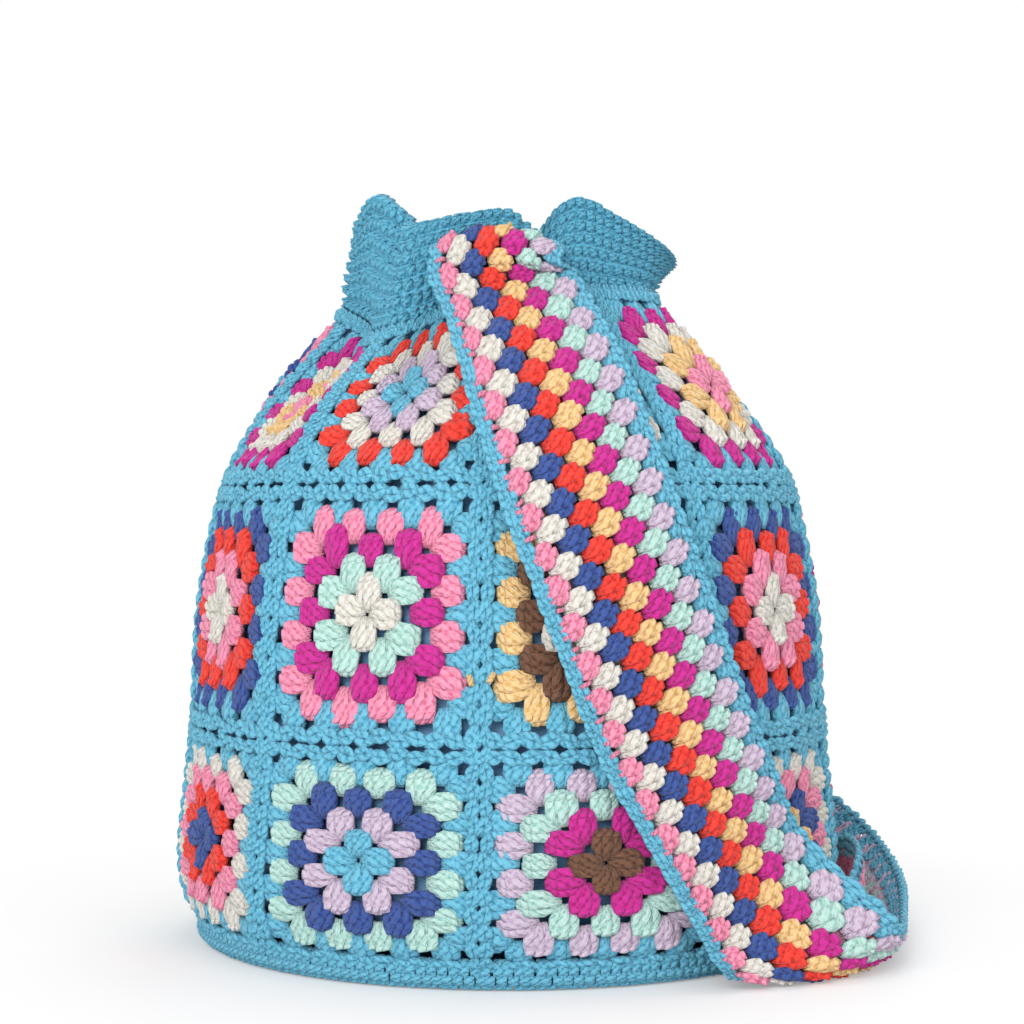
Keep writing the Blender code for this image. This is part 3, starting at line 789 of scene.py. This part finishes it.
def add_square(row_name, row, place):
    foot = np.repeat([group[0] for group in GROUPS], 3, axis=0)
    head = np.repeat([group[1] for group in GROUPS], 3, axis=0)
    rounds = np.repeat([group[2] for group in GROUPS], 3)
    count = len(GROUPS)
    shift = np.repeat(chance.normal(0.0, 0.00035, (count, 2)), 3, axis=0)
    lean = np.repeat(chance.normal(0.0, 0.0007, (count, 2)), 3, axis=0)
    swell = np.repeat(chance.normal(1.0, 0.04, count), 3) * chance.normal(1.0, 0.03, 3 * count)
    lift = np.repeat(chance.normal(-0.0004, 0.0002, count), 3) + chance.normal(0.0, 0.00015, 3 * count)
    lane = np.tile([-1.0, 0.0, 1.0], count)
    scheme = ("turquoise",) + SCHEMES[row_name][place]
    kinds = np.where(rounds == ROUNDS, 0, rounds)
    batches = []
    for shape, chosen in ((WHOLE, rounds < ROUNDS), (POST, rounds == ROUNDS)):
        flat = lay(
            shape,
            (foot + shift)[chosen],
            (head + shift + lean)[chosen],
            GROUP_FOOT * swell[chosen],
            GROUP_HEAD * swell[chosen],
            STITCH_THICKNESS * swell[chosen],
            lift[chosen],
            lane[chosen],
        )
        batches.append((shape, square_on_wall(flat, row, place), kinds[chosen]))
    name = f"square_{row_name}_{place + 1}"
    piece = join("crochet_" + name, batches, [YARNS[colour] for colour in scheme])
    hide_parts(name)


for row, row_name in enumerate(("low", "middle", "top")):
    for place in range(SQUARES_AROUND):
        add_square(row_name, row, place)

# %% [markdown]
# ## Seams
# The squares are joined through the loops of their last round, and each seam shows as two chains of loops
# with slits between them. One link of chain is two bent strands that meet, copied along every seam.

# %% Model one link of chain
LINK_WIDTH = 0.0052
LINK_LENGTH = 0.0088
LINK_THICKNESS = 0.0036
start_fresh()
LINK_START = (-0.0003, 0.0, -0.0008)
bpy.ops.mesh.primitive_circle_add(
    vertices=5, radius=0.0011, fill_type="NGON", location=LINK_START, rotation=(math.radians(90), 0, 0)
)
link = bpy.context.object
link.name = "chain_link"
bpy.ops.object.transform_apply(location=True, rotation=True, scale=True)
bpy.ops.object.mode_set(mode="EDIT")
bpy.ops.mesh.select_all(action="SELECT")
strand_path = [
    ((-0.0013, 0.0024, 0.0006), (1.25, 1, 1.25)),
    ((-0.0015, 0.0050, 0.0010), (1.08, 1, 1.08)),
    ((-0.0008, 0.0074, 0.0004), (0.92, 1, 0.92)),
    ((-0.0002, 0.0088, -0.0008), (0.7, 1, 0.7)),
]
extrude_to(LINK_START, strand_path)
bpy.ops.mesh.select_all(action="SELECT")
bpy.ops.mesh.normals_make_consistent(inside=False)
bpy.ops.object.mode_set(mode="OBJECT")
mirror = link.modifiers.new("other_strand", "MIRROR")
mirror.use_mirror_merge = False
bpy.ops.object.modifier_apply(modifier=mirror.name)
bpy.ops.object.mode_set(mode="EDIT")
bpy.ops.mesh.select_all(action="SELECT")
bpy.ops.mesh.normals_make_consistent(inside=False)
bpy.ops.object.mode_set(mode="OBJECT")
LINK = Shape(link, (LINK_WIDTH, LINK_LENGTH, LINK_THICKNESS))
print("link faces:", len(LINK.faces))

# %% Lay chains along the seams
LINK_PITCH = 0.0080
LINK_REACH = 1.34
UPRIGHT_OFF, LEVEL_OFF = 0.0026, 0.0036
UPRIGHT_SLIT, LEVEL_SLIT = 0.0010, 0.0018
SLIT_PITCH = 0.0178


def chain(places, count, width, thickness, lift):
    """Links along a path, each a little longer than its share, so that it covers the next one's foot."""
    start = np.arange(count) / count
    foot = places(start) + chance.normal(0.0, 0.0002, (count, 2))
    head = places(start + LINK_REACH / count) + chance.normal(0.0, 0.00025, (count, 2))
    width = width * chance.normal(1.0, 0.07, count)
    return lay(LINK, foot, head, width, width, thickness, lift, 0.0, lanes=1)


def seam_side(side, upright):
    """The path of a chain just inside one edge of a square, which winds away to leave slits."""

    def places(share):
        along = HALF_SQUARE * (2 * share - 1)
        wave = np.cos(2 * math.pi * along / SLIT_PITCH)
        off, wide = (UPRIGHT_OFF, UPRIGHT_SLIT) if upright else (LEVEL_OFF, LEVEL_SLIT)
        beside = side * (HALF_SQUARE - off - wide * np.sign(wave) * np.sqrt(np.abs(wave)))
        pair = [beside, along] if upright else [along, beside]
        return np.stack(pair, axis=1)

    return places


def neck_line(share):
    """The path of the chain that draws the top squares in under the collar."""
    return np.stack([HALF_SQUARE * (2 * share - 1), np.full_like(share, HALF_SQUARE - 0.0016)], axis=1)


def seam_batches():
    batches = []
    count = round(2 * HALF_SQUARE / LINK_PITCH)
    for row in range(ROWS):
        for place in range(SQUARES_AROUND):
            for side in (-1.0, 1.0):
                for upright in (True, False):
                    width = 0.0046 if upright else 0.0052
                    flat = chain(seam_side(side, upright), count, width, 0.0040, 0.0014)
                    batches.append((LINK, square_on_wall(flat, row, place), 0))
    for place in range(SQUARES_AROUND):
        flat = chain(neck_line, count, 0.0062, 0.0050, 0.0016)
        batches.append((LINK, square_on_wall(flat, ROWS - 1, place), 0))
    return batches


seams = join("joining_seams", seam_batches(), [YARNS["turquoise"]])

# %% Two yellow yarn ends beside a seam
ENDS = (
    (0, (HALF_SQUARE - 0.0048, -0.0222), (HALF_SQUARE - 0.0032, -0.0274)),
    (1, (-HALF_SQUARE + 0.0062, -0.0218), (-HALF_SQUARE + 0.0036, -0.0262)),
)
ends = []
for place, foot_place, head_place in ENDS:
    flat = lay(POST, np.array([foot_place]), np.array([head_place]), 0.0020, 0.0022, 0.0026, 0.0032, 0.0, lanes=1)
    ends.append((POST, square_on_wall(flat, 1, place), 0))
join("yellow_yarn_ends", ends, [YARNS["yellow"]])

# %% [markdown]
# ## Collar
# The collar is worked round and round in short posts, so its rows show as ridges. Each row is a ring of
# stitches whose heads overlap the row above, laid on the collar's ruffled surface.

# %% Collar rows
COLLAR_ROWS = 7
COLLAR_PITCH = 0.0048
COLLAR_BODY = 0.0056
COLLAR_ROLL = 0.0018
COLLAR_SUNK = 0.0010
GROUND_STEPS = 126
GROUND_HALF = 0.0009


class Ground:
    """A thin closed shell behind the posts, which stands for the yarn that crosses between them."""

    def __init__(self):
        around = np.arange(GROUND_STEPS) * 2 * math.pi / GROUND_STEPS
        levels = np.linspace(0.0, 0.985, COLLAR_ROWS + 2)
        sides = [(level, GROUND_HALF) for level in levels] + [(level, -GROUND_HALF) for level in levels[::-1]]
        rings = [on_collar(around, np.full_like(around, level), np.full_like(around, out)) for level, out in sides]
        self.points = np.vstack(rings)
        self.faces = []
        self.strand = []
        for ring in range(len(rings)):
            for step in range(GROUND_STEPS):
                here, there = ring * GROUND_STEPS, (ring + 1) % len(rings) * GROUND_STEPS
                after = (step + 1) % GROUND_STEPS
                self.faces.append((here + step, here + after, there + after, there + step))
                self.strand += [(0.0, 0.0), (0.1, 0.0), (0.1, 0.5), (0.0, 0.5)]
        self.strand = np.array(self.strand)


def row_of_cloth(level):
    """Angles round the collar, and the length of cloth up to each, so that folds get their share."""
    angles = np.linspace(0.0, 2 * math.pi, 1441)
    ring = collar_point(angles, np.full_like(angles, level))
    return angles, np.concatenate([[0.0], np.cumsum(plain_length(ring))])


def add_collar():
    """Rings of stitches, each row a roll that stands proud of the grooves above and below it."""
    placed = []
    a, b, c = (column[None, :] for column in WHOLE.points.T)
    for row in range(COLLAR_ROWS):
        angles, length = row_of_cloth((row + 0.5) / COLLAR_ROWS)
        count = round(length[-1] / COLLAR_PITCH)
        jitter = chance.normal(0.0, 0.05, (count, 4))[..., None]
        number = (np.arange(count) + 0.5 * (row % 2))[:, None]
        share = (number + a * 0.86 + jitter[:, 0] + b * jitter[:, 1] * 2) / count
        around = np.interp(np.mod(share, 1.0) * length[-1], length, angles) + 2 * math.pi * np.floor(share)
        up = (row - 0.10 + b * 1.12 + 0.4 * jitter[:, 3]) / COLLAR_ROWS + 0 * around
        roll = COLLAR_ROLL * (np.sin(math.pi * np.clip(b, 0, 1)) - 0.2)
        out = c * COLLAR_BODY * (1 + jitter[:, 2]) + roll - COLLAR_SUNK + 0 * around
        placed.append(on_collar(around, np.clip(up, -0.01, 1.03), out))
    ground = Ground()
    batches = [(WHOLE, np.concatenate(placed), 0), (ground, ground.points[None], 0)]
    # The collar takes the darker copy of turquoise, which is painted shade.
    piece = join("collar_crochet", batches, [YARNS["collar_shaded_turquoise"]])
    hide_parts("collar")


add_collar()

# %% [markdown]
# ## Strap
# The strap is a granny stripe: eight long rows of three-treble groups, one colour to a row, each row's
# feet between the heads of the row before. A low turquoise row and turquoise chains close its edges.

# %% Strap rows
STRIPES = ("pink", "white", "navy", "red", "yellow", "magenta", "mint", "lilac")
STRAP_GROUP_PITCH = 0.01565
STRAP_HALF = STRAP_WIDTH / 2
LEFT_EDGING, RIGHT_EDGING = 0.0056, 0.0040
STRAP_BODY = 0.0048
ON_FLOOR = 0.0003
STRAP_OUTER_SHORTER = 0.13


def strap_places(flat):
    """Flat places, along the strap and across it, bent onto the strap and pressed flat by the floor."""
    places = on_strap(-flat[..., 0], flat[..., 1] / STRAP_HALF, flat[..., 2])
    places[..., 2] = np.maximum(places[..., 2], ON_FLOOR)
    return places


def add_strap():
    batches = []
    materials = [YARNS["turquoise"]] + [YARNS[name] for name in STRIPES]
    row_step = (STRAP_WIDTH - LEFT_EDGING - RIGHT_EDGING) / len(STRIPES)
    count = int(STRAP_LENGTH / STRAP_GROUP_PITCH)
    pitch = STRAP_LENGTH / count
    lane = np.tile([-1.0, 0.0, 1.0], count)
    for row in range(len(STRIPES) + 1):
        along = (np.arange(count) + 0.25 + 0.5 * (row % 2)) * pitch
        along = np.repeat(along + chance.normal(0.0, 0.0004, count), 3)
        head = -STRAP_HALF + LEFT_EDGING + (row + 1) * row_step + 0.0018
        foot_at = np.stack([-along, np.full_like(along, max(head - 0.0148, 0.0030 - STRAP_HALF))], axis=1)
        head = min(head, STRAP_HALF - 0.0020)
        head_at = np.stack([-along, np.full_like(along, head)], axis=1)
        head_at += np.repeat(chance.normal(0.0, 0.0004, (count, 2)), 3, axis=0)
        swell = np.repeat(chance.normal(1.0, 0.04, count), 3)
        shape, colour, lift = (WHOLE, row + 1, 0.0008) if row < len(STRIPES) else (POST, 0, -0.0002)
        flat = lay(
            shape, foot_at, head_at, 0.0088 * swell, 0.0122 * swell, STRAP_BODY * swell, lift, lane,
            shorter=STRAP_OUTER_SHORTER,
        )
        batches.append((shape, strap_places(flat), colour))
    piece = join("strap_crochet", batches, materials)
    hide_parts("strap")


add_strap()


# %% Strap edging
def strap_line(across):
    return lambda share: np.stack([-STRAP_LENGTH * share, np.full_like(share, across)], axis=1)


def add_edging():
    """Two chains along the left edge with pink yarn wrapped over them, and one along the right edge."""
    batches = []
    count = int(STRAP_LENGTH / 0.0076)
    for across in (-STRAP_HALF + 0.0014, -STRAP_HALF + 0.0040, STRAP_HALF - 0.0010):
        flat = chain(strap_line(across), count, 0.0040, 0.0034, 0.0004)
        batches.append((LINK, strap_places(flat), 0))
    wraps = int(STRAP_LENGTH / 0.0052)
    along = (np.arange(wraps) + 0.5) * STRAP_LENGTH / wraps + chance.normal(0.0, 0.0007, wraps)
    reach = chance.uniform(0.0030, 0.0058, wraps)
    foot_at = np.stack([-along, np.full(wraps, -STRAP_HALF + 0.0088)], axis=1)
    head_at = np.stack([-along + chance.normal(0.0, 0.0006, wraps), reach - STRAP_HALF], axis=1)
    flat = lay(POST, foot_at, head_at, 0.0016, 0.0016, 0.0024, 0.0016, 0.0, lanes=1)
    batches.append((POST, strap_places(flat), 1))
    piece = join("strap_edging", batches, [YARNS["turquoise"], YARNS["pink"]])
    return piece


add_edging()

# %% [markdown]
# ## Lining
# A plain blue cotton bag hangs inside the crochet and shows through its holes. It is a cylinder of cloth
# gathered at the neck, so a ring is extruded up the wall, and its rings then take up the wall's folds.

# %% Model the lining
LINING_CLEARANCE = 0.0045
LINING_LEVELS = (0.10, 0.3, 0.6, 0.9, 1.2, 1.5, 1.8, 2.05, 2.25, 2.45, 2.65, 2.85, 2.97)
LINING_STEPS = 126
LINING_FLOOR = BASE_THICKNESS + 0.0008
start_fresh()
floor_radius = BASE_FLAT_RADIUS - LINING_CLEARANCE
bpy.ops.mesh.primitive_circle_add(
    vertices=LINING_STEPS, radius=floor_radius, fill_type="NOTHING", location=(0, 0, LINING_FLOOR)
)
lining = bpy.context.object
lining.name = "lining_cloth_bag"
bpy.ops.object.transform_apply(location=True, rotation=True, scale=True)
bpy.ops.object.mode_set(mode="EDIT")
bpy.ops.mesh.select_all(action="SELECT")
for level in LINING_LEVELS:
    bpy.ops.mesh.extrude_region_move(TRANSFORM_OT_translate={"value": (0, 0, 0.01)})
bpy.ops.mesh.select_all(action="DESELECT")
bpy.ops.object.mode_set(mode="OBJECT")
for corner in lining.data.vertices:
    corner.select = corner.co.z < LINING_FLOOR + 0.001
for side in lining.data.edges:
    side.select = all(lining.data.vertices[corner].select for corner in side.vertices)
bpy.ops.object.mode_set(mode="EDIT")
bpy.ops.mesh.edge_face_add()
bpy.ops.mesh.select_all(action="SELECT")
bpy.ops.mesh.normals_make_consistent(inside=False)
bpy.ops.object.mode_set(mode="OBJECT")

# %% Fit its rings to the wall
places = np.empty(len(lining.data.vertices) * 3)
lining.data.vertices.foreach_get("co", places)
places = places.reshape(-1, 3)
ring_of = np.rint((places[:, 2] - LINING_FLOOR) / 0.01).astype(int)
angle_of = np.arctan2(places[:, 0], -places[:, 1])
for number, level in enumerate(LINING_LEVELS, start=1):
    ring = ring_of == number
    around = angle_of[ring]
    up = np.full_like(around, level)
    ripple = 0.0008 * np.sin(31 * around + 2.0 * level) * smooth((up - 0.3) / 2.5)
    places[ring] = on_wall(around, up, -0.0015 - LINING_CLEARANCE + ripple)
lining.data.vertices.foreach_set("co", places.ravel())
lining.data.update()
thicken = lining.modifiers.new("cloth", "SOLIDIFY")
thicken.thickness = 0.0008
thicken.offset = 0.0
bpy.ops.object.modifier_apply(modifier=thicken.name)
lining.data.shade_smooth()
print("lining faces:", len(lining.data.polygons))


# %% Its cloth
def lining_cloth():
    graph = Graph("lining_cotton")
    place = graph.node("ShaderNodeTexCoord", {}, {}, "Object")
    height = graph.node("ShaderNodeSeparateXYZ", {}, [place], 2)
    weave = (height * 9000.0).sine() * 0.25 + graph.noise(place, 900.0) * 0.6
    creases = graph.noise(place, 45.0)
    painted_light_share = (creases * 2.6 - 0.8).clamped()
    # Painted light and shade: dark navy where the crease noise is low, in the hollows of the creases, and light blue
    # where it is high, on their crests.
    graph.feed(graph.shader.inputs["Base Color"], graph.mix(painted_light_share, rgba((0.05, 0.15, 0.30)), rgba((0.24, 0.47, 0.74))))
    graph.feed(graph.shader.inputs["Normal"], graph.bump(weave + creases * 4.0, 0.4, 0.0006))
    graph.shader.inputs["Roughness"].default_value = 0.9
    return graph.material


lining.data.materials.append(lining_cloth())
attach(lining, "root")
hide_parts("lining")

# %% [markdown]
# ## Base
# The base is worked in rounds from its middle, each one a ridge, and its last rounds turn up to meet the
# squares. The disc is a ring extruded inwards ridge by ridge, and the rim is laid with stitches.

# %% Model the base disc
BASE_ROUNDS = 20
start_fresh()
bpy.ops.mesh.primitive_circle_add(vertices=108, radius=0.1430, fill_type="NOTHING", location=(0, 0, 0.0085))
base = bpy.context.object
base.name = "base_crochet"
bpy.ops.object.transform_apply(location=True, rotation=True, scale=True)
bpy.ops.object.mode_set(mode="EDIT")
bpy.ops.mesh.select_all(action="SELECT")
radius, height = 0.1430, 0.0085
outline = [(0.1425, 0.0036), (0.1380, 0.0012)]
for ring in range(BASE_ROUNDS):
    reach = 0.1335 * (1 - ring / BASE_ROUNDS)
    outline += [(reach, 0.0002), (max(reach - 0.0033, 0.0008), 0.0014)]
inside = [(0.02, 0.0050), (0.08, 0.0050), (0.126, 0.0052), (0.1385, 0.0088)]
for next_radius, next_height in outline + inside:
    bpy.ops.mesh.extrude_region_move(TRANSFORM_OT_translate={"value": (0, 0, next_height - height)})
    ratio = next_radius / radius
    bpy.ops.transform.resize(value=(ratio, ratio, 1), center_override=(0, 0, next_height))
    radius, height = next_radius, next_height
bpy.ops.mesh.select_all(action="DESELECT")
bpy.ops.mesh.select_non_manifold()
bpy.ops.mesh.bridge_edge_loops()
bpy.ops.mesh.select_all(action="SELECT")
bpy.ops.mesh.normals_make_consistent(inside=False)
bpy.ops.object.mode_set(mode="OBJECT")
base.data.shade_smooth()
layer = base.data.uv_layers.new(name="strand")
corner_vertex = np.empty(len(base.data.loops), dtype=np.int32)
base.data.loops.foreach_get("vertex_index", corner_vertex)
co = np.empty(len(base.data.vertices) * 3)
base.data.vertices.foreach_get("co", co)
co = co.reshape(-1, 3)[corner_vertex]
layer.data.foreach_set("uv", np.stack([co[:, 0] * 60, co[:, 1] * 60], axis=1).ravel())
base.data.materials.append(YARNS["turquoise"])
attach(base, "root")
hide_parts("base")
print("base faces:", len(base.data.polygons))


# %% Stitches round its rim
RIM_ROWS = 3


def on_rim(around, up, out):
    start, turn, end = np.array([0.1400, 0.0016]), np.array([0.1500, 0.0006]), np.array([0.1452, 0.0130])
    share = up[..., None]
    place = start * (1 - share) ** 2 + 2 * turn * share * (1 - share) + end * share**2
    ahead = unit(2 * (turn - start) * (1 - share) + 2 * (end - turn) * share)
    place = place + np.stack([ahead[..., 1], -ahead[..., 0]], axis=-1) * out[..., None]
    return np.stack([place[..., 0] * np.sin(around), -place[..., 0] * np.cos(around), place[..., 1]], axis=-1)


def add_rim():
    placed = []
    count = 200
    for row in range(RIM_ROWS):
        a, b, c = POST.points.T
        middle = (np.arange(count) + 0.5 * (row % 2)) * 2 * math.pi / count
        jitter = chance.normal(0.0, 0.05, (count, 3))
        around = middle[:, None] + (a[None, :] * 1.05 + jitter[:, :1]) * 2 * math.pi / count
        up = (row + b[None, :] * 1.2 - 0.1) / RIM_ROWS + 0 * around
        out = c[None, :] * 0.0032 * (1 + jitter[:, 2:]) + 0 * around - 0.0004
        placed.append(on_rim(around, up, out))
    points = np.concatenate(placed)
    points[..., 2] = np.maximum(points[..., 2], ON_FLOOR)
    return join("base_rim_stitches", [(POST, points, 0)], [YARNS["turquoise"]])


add_rim()
for used_up in (stitch, link):
    bpy.data.objects.remove(used_up)

# %% [markdown]
# ## Floor and light
# The bag stands on a plain white floor in soft light, so the floor is a white plane that the camera sees
# partly lit by itself, and large soft lamps do the rest.

# %% Floor
WHITE_FROM, WHITE_TO = 0.17, 0.36
NEAR_WHITE = 0.25
start_fresh()
bpy.ops.mesh.primitive_plane_add(size=12.0, location=(0, 3.0, 0))
ground = bpy.context.object
ground.name = "floor"
bpy.ops.object.transform_apply(location=True, rotation=True, scale=True)
paper = Graph("floor_paper")
paper.shader.inputs["Base Color"].default_value = (0.90, 0.90, 0.90, 1.0)
paper.shader.inputs["Roughness"].default_value = 0.9
paper.shader.inputs["Specular IOR Level"].default_value = 0.0
seen = paper.node("ShaderNodeLightPath", {}, {}, "Is Camera Ray")
glow = paper.node("ShaderNodeEmission", {}, {"Color": (1.0, 1.0, 1.0, 1.0), "Strength": 1.0})
spot = paper.node("ShaderNodeTexCoord", {}, {}, "Object")
away = paper.node("ShaderNodeVectorMath", {"operation": "LENGTH"}, [spot], "Value")
white_share = ((away - WHITE_FROM) * (1.0 / (WHITE_TO - WHITE_FROM))).clamped() * (1.0 - NEAR_WHITE) + NEAR_WHITE
both = paper.node("ShaderNodeMixShader", {}, [seen * white_share, Signal(paper, paper.shader.outputs[0]), glow])
paper.tree.links.new(both.socket, paper.tree.nodes["Material Output"].inputs["Surface"])
ground.data.materials.append(paper.material)
print("floor ready")

# %% World and lamps
world = bpy.data.worlds.new("studio")
bpy.context.scene.world = world
world.use_nodes = True
tree = world.node_tree
backdrop = tree.nodes["Background"]
backdrop.inputs["Color"].default_value = (1.0, 1.0, 1.0, 1.0)
rays = tree.nodes.new("ShaderNodeLightPath")
level = tree.nodes.new("ShaderNodeMath")
level.operation = "MULTIPLY_ADD"
level.inputs[1].default_value = 0.46
level.inputs[2].default_value = 0.54
tree.links.new(rays.outputs["Is Camera Ray"], level.inputs[0])
tree.links.new(level.outputs[0], backdrop.inputs["Strength"])


def lamp(name, place, target, size, power):
    data = bpy.data.lights.new(name, "AREA")
    data.energy = power
    data.size = size
    made = bpy.data.objects.new(name, data)
    made.location = place
    aim = np.array(target) - np.array(place)
    made.rotation_euler = (
        math.atan2(math.hypot(aim[0], aim[1]), -aim[2]),
        0.0,
        math.atan2(aim[1], aim[0]) - math.pi / 2,
    )
    bpy.context.collection.objects.link(made)


lamp("key", (-0.8, -2.0, 1.2), (0, 0, 0.15), 1.4, 38.0)
lamp("fill", (1.5, -1.8, 0.8), (0, 0, 0.15), 1.4, 12.0)
lamp("back", (0.5, 2.2, 1.1), (0, 0, 0.15), 1.6, 15.0)
lamp("top", (0.2, 0.3, 1.8), (0, 0, 0.1), 1.2, 7.5)
bpy.context.scene.view_settings.view_transform = "Standard"
